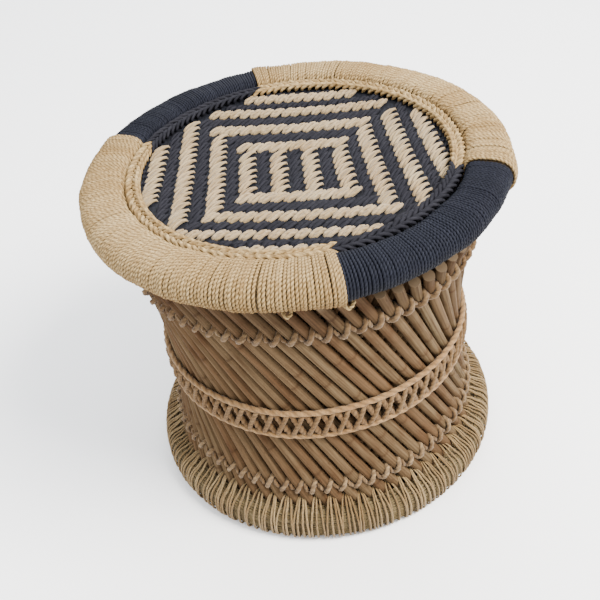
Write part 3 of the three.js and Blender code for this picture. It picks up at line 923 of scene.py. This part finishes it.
def addRimWinding(place, segment, seed):
    steps = turnSteps()
    turns = segment["turns"]
    walk = (np.arange(turns)[:, None] + steps[None, :] / fullTurn).ravel()
    psi = walk * fullTurn - math.pi / 2
    colour = segment["colour"]
    black = colour == "black"
    jitter, cordRadius = rim["jitter"][colour], rim["cordRadius"][colour]
    side = rim["sideJitter"] * ripple(walk, seed) + 0.12 * ripple(walk * 3.3, seed + 1)
    bunch = 0.9 * ripple(walk / 11, seed + 2)
    for groove, width in segment["grooves"].items():
        bunch = bunch + width * np.tanh((walk - groove) * 2.5) * np.exp(-(((walk - groove) / 4) ** 2))
    fade = np.clip(walk / 3, 0, 1) * np.clip((turns - walk) / 3, 0, 1)
    spot = np.clip((walk + (side + bunch) * jitter * fade) / turns, 0, 1)
    angle = np.radians(segment["from"] + (segment["to"] - segment["from"]) * spot)
    puckered = 1 + 1.6 * np.clip(-np.cos(psi), 0, 1)
    lift = rim["liftJitter"] * ripple(walk, seed + 3) + 0.3 * ripple(walk * 4.1, seed + 4)
    lift = jitter * puckered * lift
    # towards the middle the turns crowd, so every other one rides up on its neighbours
    riding = np.cos(math.pi * walk) * (1 + 0.7 * ripple(walk / 3, seed + 8))
    lift = lift + segment["piled"] * riding * np.clip(-np.cos(psi), 0, 1)
    lump = rimLump(np.degrees(angle))
    ends = np.minimum(walk, turns - walk)
    proud = 0.5 * np.exp(-((ends / 3) ** 2)) if black else rim["lastTurns"] * np.exp(-((ends / 7) ** 2))
    sunk = cordRadius + 0.6 - lift - lump - proud - segment["fuller"]
    x, y = rimLine(psi, rim["halfWidth"], rim["halfHeight"])
    far = np.sqrt(x**2 + y**2)
    x, y = x * (1 - sunk / far), y * (1 - sunk / far)
    path = ringPoints(rim["radius"] + x, angle, rim["height"] + y)
    out = ringPoints(x, angle, y)
    radius = cordRadius * (1 + 0.07 * ripple(walk * 1.3, seed + 5))
    build = {"sides": 8, "groove": 0.34 if black else 0.38, "lay": 7.4 if black else 8.0}
    tone = 0.55 * ripple(walk / 0.9, seed + 6) + 0.75 * ripple(walk / 7, seed + 7)
    # painted shade on the undersides of the turns, where they face the floor
    paintedShade = np.clip(-y / np.hypot(x, y) * 1.5 + 0.1, 0, 1)
    cords = [{"path": path, "out": out, "radius": radius, "tone": tone, "paintedShade": paintedShade}]
    if place == "front":
        cords += [looseEnd(*end) for end in rim["looseEnds"]]
    winding = layCords(f"rim_winding_{place}_visual", cords, build)
    finishPiece(winding, blackCord if black else naturalCord, [f"rim_winding_{place}"])


def addRimBundle():
    # straw under a first layer of cord, which shows between the outer turns in painted shade
    outline = []
    for k in range(28):
        x, y = rimLine(np.array(k / 28 * fullTurn), rim["halfWidth"], rim["halfHeight"])
        outline.append((rim["radius"] + float(x), rim["height"] + float(y)))
    bundle = turnRing("rim_bundle_visual", outline, spinning["steps"] * 2)
    places = np.array([corner.co for corner in bundle.data.vertices]) / mm
    degrees = (np.degrees(np.arctan2(places[:, 1], places[:, 0])) - 156) % 360 + 156
    depth, black = np.zeros(len(places)), np.zeros(len(places))
    for segment in rim["segments"].values():
        inside = (degrees >= segment["from"]) & (degrees < segment["to"])
        colour = segment["colour"]
        depth[inside] = rim["cordRadius"][colour] + 0.6 - segment["fuller"] + rim["firstLayerDepth"]
        black[inside] = colour == "black"
    around = np.hypot(places[:, 0], places[:, 1])
    x, y = around - rim["radius"], places[:, 2] - rim["height"]
    keep = 1 - (depth - rimLump(degrees)) / np.hypot(x, y)
    places[:, :2] *= ((rim["radius"] + x * keep) / around)[:, None]
    places[:, 2] = rim["height"] + y * keep
    bundle.data.vertices.foreach_set("co", (places * mm).ravel())
    spread(bundle.data, "blackTurns", black)
    finishPiece(bundle, shadedFirstLayerFinish, ["rim_bundle"])


addRimBundle()
for number, (place, segment) in enumerate(rim["segments"].items()):
    addRimWinding(place, segment, 300 + number * 20)
print("rim wound")


braid = {
    "inner": 145.8,
    "outer": 160.0,
    "bottom": 333.3,
    "legsRound": 122,
    "legReach": 16.0,
    "cordRadius": {"natural": 2.4, "black": 2.05},
}


def braidLeg(angle, outward, thickness):
    # one leg of a V, from under the last V at the middle out to the edge
    middle = (braid["inner"] + braid["outer"]) / 2
    half = (braid["outer"] - braid["inner"]) / 2 - thickness * 0.6
    share = np.array([-0.16, 0.0, 0.16, 0.36, 0.58, 0.8, 0.96, 1.06])
    radius = middle + (1 if outward else -1) * half * (share * (1.45 - 0.45 * share))
    height = braid["bottom"] + np.array([0.6, 3.2, 5.2, 6.5, 6.7, 5.6, 3.4, 0.8])
    turn = angle + braid["legReach"] * share / middle
    path = ringPoints(radius, turn, height + dice.uniform(-0.3, 0.3))
    return {
        "path": path, "radius": thickness * dice.uniform(0.94, 1.06),
        "tone": dice.uniform(-1, 1), "start": dice.uniform(-0.6, 0.6),
    }


def addBraid(place, segment):
    colour = segment["colour"]
    start, end = math.radians(segment["from"]), math.radians(segment["to"])
    count = round((end - start) / fullTurn * braid["legsRound"])
    thickness = braid["cordRadius"][colour]
    cords = []
    for k in range(count):
        angle = start - 0.045 + (k + 0.3) / count * (end - start) + dice.uniform(-0.003, 0.003)
        cords.append(braidLeg(angle, True, thickness))
        cords.append(braidLeg(angle + 0.03, False, thickness))
    build = {"sides": 8, "groove": 0.34, "lay": 15.0, "squash": 0.9}
    plait = layCords(f"rim_braid_{place}_visual", cords, build)
    finish = seatBlack if colour == "black" else naturalCord
    finishPiece(plait, finish, [f"rim_braid_{place}"])


for place, segment in rim["segments"].items():
    addBraid(place, segment)
print("braid laid")


seat = {
    "radius": 157.6,
    "edgeHeight": 333.0,
    "flatFrom": 148.0,
    "dip": 8.0,
    "thickness": 6.0,
    "reach": 144.6,
    "centre": -4.0,
    "baseRings": (9.6, 22, 24, 26, 26, 24),
    "rowSlope": (-7.0, -10.5),  # degrees, at the middle and at the front
    "splay": 0.0005,            # how much wider the pattern gets towards the front
    "band": 16.4,
    "row": {"slant": 41.0, "pitch": 11.2, "radius": 2.35, "gap": 2.25, "inset": 4.3, "jitter": (0.5, 0.6)},
    "column": {"slant": 57.0, "pitch": 10.4, "radius": 1.85, "gap": 1.72, "inset": 3.9, "jitter": (0.6, 0.5)},
    "naturalLift": 1.5,         # the pattern's strokes lie over the black ones
    "blackLift": 0.3,
    # half widths and half depths of the rectangles, from the ladder out
    "frames": [(54, 54.5), (83, 88), (113, 119), (142, 146)],
    "beyond": (160, 160),       # where the black outside the last frame ends, under the braid
    "underside": {"columns": 17.5, "rows": 11.5, "shear": 5.0, "halfLength": 14.5, "lift": 0.2, "reach": 143},
    "cord": {"sides": 6, "groove": 0.2, "lay": 12.0, "squash": 0.85},
    # at seven places along a stroke: how high it lies, how far its two cords stand apart, how thick they are,
    # and how far it has turned towards level, in degrees
    "along": (-1.0, -0.86, -0.5, 0.0, 0.5, 0.88, 1.0),
    "rise": (-3.0, -1.2, 0.1, 0.6, 0.75, 0.3, -1.8),
    "plain": {
        "apart": (0.4, 0.66, 1.0, 1.0, 1.0, 0.66, 0.4),
        "thick": (0.8, 0.93, 1.0, 1.0, 1.0, 0.93, 0.8),
        "level": (0, 0, 0, 0, 0, 0, 0), "shift": 0.0, "stagger": 0.5,
    },
    "toothed": {
        "apart": (0.7, 0.9, 1.0, 0.95, 0.6, 0.2, 0.1),
        "thick": (0.8, 0.95, 1.0, 1.0, 0.94, 0.88, 0.76),
        "level": (0, 0, 0, 3, 15, 34, 44), "shift": 1.2, "stagger": 0.7,
    },
}


def seatHeight(radius):
    share = np.minimum(radius / seat["flatFrom"], 1)
    return seat["edgeHeight"] - seat["dip"] * (1 - share * share)


def addSeatBase():
    deselectAll()
    bpy.ops.mesh.primitive_cylinder_add(
        vertices=96, radius=seat["radius"] * mm, depth=seat["thickness"] * mm,
        location=(0, 0, (seat["edgeHeight"] - seat["thickness"] / 2) * mm),
    )
    base = bpy.context.object
    base.name = "seat_base"
    bpy.ops.object.transform_apply(location=True)
    for side in (1, -1):
        bpy.ops.object.mode_set(mode="EDIT")
        bpy.ops.mesh.select_mode(type="FACE")
        bpy.ops.mesh.select_all(action="DESELECT")
        bpy.ops.object.mode_set(mode="OBJECT")
        for face in base.data.polygons:
            face.select = face.normal.z * side > 0.9
        bpy.ops.object.mode_set(mode="EDIT")
        for ringWidth in seat["baseRings"]:
            bpy.ops.mesh.inset(thickness=ringWidth * mm)
        bpy.ops.object.mode_set(mode="OBJECT")
    for corner in base.data.vertices:
        radius = math.hypot(corner.co.x, corner.co.y) / mm
        corner.co.z += (seatHeight(radius) - seat["edgeHeight"]) * mm
    bpy.ops.object.shade_smooth_by_angle(angle=math.radians(30))
    finishPiece(base, tightBlackWeave, ["seat_ground"])


def stroke(kind, x, y, halfLength, lift, below=False):
    # a pair of cords lies across a band on the slant and dives under at both ends
    slant = math.radians(seat[kind]["slant"] + dice.uniform(-3, 3))
    # a column's natural stroke turns level at its right end, so that its tip stands out as a tooth
    shape = seat["toothed" if kind == "column" and lift == seat["naturalLift"] else "plain"]
    along, rise = np.array(seat["along"]), np.array(seat["rise"])
    apart, thick = np.array(shape["apart"]), np.array(shape["thick"])
    turned = slant - np.radians(shape["level"])
    heading = np.array([np.cos(turned), np.sin(turned), 0 * turned]).T
    sideways = np.array([-heading[:, 1], heading[:, 0], 0 * turned]).T
    line = np.cumsum(np.diff(along, prepend=0)[:, None] * halfLength * heading, axis=0)
    shift = dice.uniform(-0.6, 0.6) - shape["shift"]
    cords = []
    for offset in (-seat[kind]["gap"], seat[kind]["gap"]):
        start = shift + dice.uniform(-0.15, 0.15) - shape["stagger"] * offset * apart[-1] * math.tan(slant)
        path = np.array([x, y, 0.0]) + line + start * heading[0] + (offset * apart)[:, None] * sideways
        surface = seatHeight(np.hypot(path[:, 0], path[:, 1]))
        if below:
            path[:, 2] = surface - seat["thickness"] - lift - rise
        else:
            path[:, 2] = surface + lift + rise + dice.uniform(-0.25, 0.25)
        cords.append({
            "path": path, "radius": seat[kind]["radius"] * thick * dice.uniform(0.95, 1.05),
            "tone": dice.uniform(-1, 1), "start": dice.uniform(0, 6),
        })
    return cords


def woven(x, y):
    # the weaver's drift: the rows run downhill to the right, and the columns part towards the front
    middle, front = seat["rowSlope"]
    slope = math.tan(math.radians(middle + (front - middle) * min(max(-y / 110, 0), 1)))
    return x * (1 - seat["splay"] * y), seat["centre"] + y + x * slope


def bandStrokes(kind, left, right, low, high, lift, trim):
    # a line of strokes across a row, or up a column
    way = seat[kind]
    wide, tall = right - left, high - low
    slant = math.radians(way["slant"])
    c, s = math.cos(slant), math.sin(slant)
    if kind == "row":
        half = (tall / 2 + trim - way["inset"] * c) / s
        count = max(round(wide / way["pitch"]), 1)
        spots = [(left + (k + 0.5) * wide / count, (low + high) / 2) for k in range(count)]
    else:
        half = (wide / 2 + trim - way["inset"] * s) / c
        count = max(round(tall / way["pitch"]), 1)
        spots = [((left + right) / 2, low + (k + 0.5) * tall / count) for k in range(count)]
    a, b = way["jitter"]
    cords = []
    for x, y in (woven(*spot) for spot in spots):
        if math.hypot(x, y) < seat["reach"]:
            cords += stroke(kind, x + dice.uniform(-a, a), y + dice.uniform(-b, b), half, lift)
    return cords


def sidesOf(outer, inner, lift, cornerGap=0.0, columnTrim=1.2, rowTrim=1.3):
    (ox, oy), (ix, iy) = outer, inner
    x, y = ox - cornerGap, iy - cornerGap
    return {
        "front": bandStrokes("row", -x, x, -oy, -iy, lift, rowTrim),
        "back": bandStrokes("row", -x, x, iy, oy, lift, rowTrim),
        "left": bandStrokes("column", -ox, -ix, -y, y, lift, columnTrim),
        "right": bandStrokes("column", ix, ox, -y, y, lift, columnTrim),
    }


def within(outer):
    return outer[0] - seat["band"], outer[1] - seat["band"]


def flattened(sides):
    return [cord for cords in sides.values() for cord in cords]


def addSeatWeave():
    band, natural, under = seat["band"], seat["naturalLift"], seat["blackLift"]
    frames = seat["frames"]
    black = []
    for outer, inner in zip(frames[1:] + [seat["beyond"]], frames):
        black += flattened(sidesOf(within(outer), inner, under, 0.0, 1.6, 1.6))
    x, y = within(frames[0])
    slot = (2 * x - 2 * band) / 3
    ladder = flattened(sidesOf(frames[0], (x, y), natural))
    for k in range(3):
        left = -x + k * (slot + band)
        black += bandStrokes("column", left, left + slot, -y, y, under, 1.6)
        if k < 2:
            ladder += bandStrokes("column", left + slot, left + slot + band, -y, y, natural, 1.2)
    piece = layCords("seat_black_strokes", black, seat["cord"])
    finishPiece(piece, seatBlack, ["seat_ground"])
    piece = layCords("seat_ladder_strokes", ladder, seat["cord"])
    finishPiece(piece, seatNatural, ["seat_ladder"])
    for name, outer, gap, trim in zip(("inner", "outer", "edge"), frames[1:], (0, 6, 6), (0.9, 0.1, 0.1)):
        sides = sidesOf(outer, within(outer), natural, gap, rowTrim=trim)
        if name == "inner":
            sides = {"": flattened(sides)}
        for side, cords in sides.items():
            ending = f"_{side}" if side else ""
            piece = layCords(f"seat_{name}_strokes{ending}", cords, seat["cord"])
            finishPiece(piece, seatNatural, [f"seat_{name}_band{ending}"])


def addSeatUnderside():
    cords, plain = [], seat["underside"]
    for column in range(-8, 9):
        for row in range(-13, 14):
            x, y = column * plain["columns"], row * plain["rows"] + column * plain["shear"]
            if math.hypot(x, y) < plain["reach"]:
                cords += stroke("column", x, y, plain["halfLength"], plain["lift"], below=True)
    piece = layCords("seat_underside_strokes", cords, seat["cord"])
    finishPiece(piece, seatBlack, ["seat_ground"])


addSeatBase()
addSeatWeave()
addSeatUnderside()
print("seat woven")


studio = {
    "floorSize": 9.0,
    "floorColour": (0.97, 0.97, 0.97),
    "worldColour": (0.95, 0.97, 1.0),
    "worldStrength": 2.0,
    "lights": [
        {"place": (1.6, -0.9, 2.4), "size": 1.3, "power": 290, "colour": (1.0, 0.97, 0.92)},
        {"place": (-2.0, -1.3, 1.9), "size": 2.6, "power": 22, "colour": (0.95, 0.97, 1.0)},
        {"place": (0.2, 2.0, 2.2), "size": 2.2, "power": 82, "colour": (0.93, 0.96, 1.0)},
    ],
    "lightsAim": (0, 0, 0.2),
    "cameraPlace": (0.0, -0.7380, 0.7704),
    "elevation": 37.7,       # of the view, in degrees
    "roll": -7.6,            # the photograph leans a little
    "lens": 54.0,
    "shift": (-0.0148, -0.045),
}


def addStudio():
    deselectAll()
    bpy.ops.mesh.primitive_plane_add(size=studio["floorSize"], location=(0, 0, 0))
    floor = bpy.context.object
    floor.name = "floor"
    finish, tree, shader = newFinish("paleFloor", 0.9, 0.1)
    grain = grainOf(tree, objectPlace(tree), (1, 1, 1), 3.0, 2.0)
    pale = studio["floorColour"]
    duller = tuple(c * 0.985 for c in pale)
    tree.links.new(mixed(tree, grain, duller, pale), shader.inputs["Base Color"])
    floor.data.materials.append(finish)
    world = bpy.data.worlds.new("paleRoom")
    world.use_nodes = True
    back = world.node_tree.nodes["Background"]
    back.inputs["Color"].default_value = (*studio["worldColour"], 1)
    back.inputs["Strength"].default_value = studio["worldStrength"]
    bpy.context.scene.world = world
    for k, light in enumerate(studio["lights"]):
        bpy.ops.object.light_add(type="AREA", location=light["place"])
        lamp = bpy.context.object
        lamp.name = f"softbox_{k + 1}"
        lamp.data.size = light["size"]
        lamp.data.energy = light["power"]
        lamp.data.color = light["colour"]
        aim = Vector(studio["lightsAim"]) - Vector(light["place"])
        lamp.rotation_euler = aim.to_track_quat("-Z", "Y").to_euler()


def addCamera():
    rise, roll = math.radians(studio["elevation"]), math.radians(studio["roll"])
    back = Vector((0, -math.cos(rise), math.sin(rise)))
    level = Vector((1, 0, 0))
    upright = back.cross(level)
    right = level * math.cos(roll) + upright * math.sin(roll)
    up = upright * math.cos(roll) - level * math.sin(roll)
    bpy.ops.object.camera_add()
    camera = bpy.context.object
    camera.name = "photoCamera"
    turned = Matrix((right, up, back)).transposed().to_4x4()
    camera.matrix_world = Matrix.Translation(studio["cameraPlace"]) @ turned
    camera.data.lens = studio["lens"]
    camera.data.sensor_width = 36
    camera.data.shift_x, camera.data.shift_y = studio["shift"]
    camera.data.clip_start = 0.02
    camera.data.clip_end = 50
    bpy.context.scene.camera = camera


addStudio()
addCamera()
print("studio lit")

print("stool done")
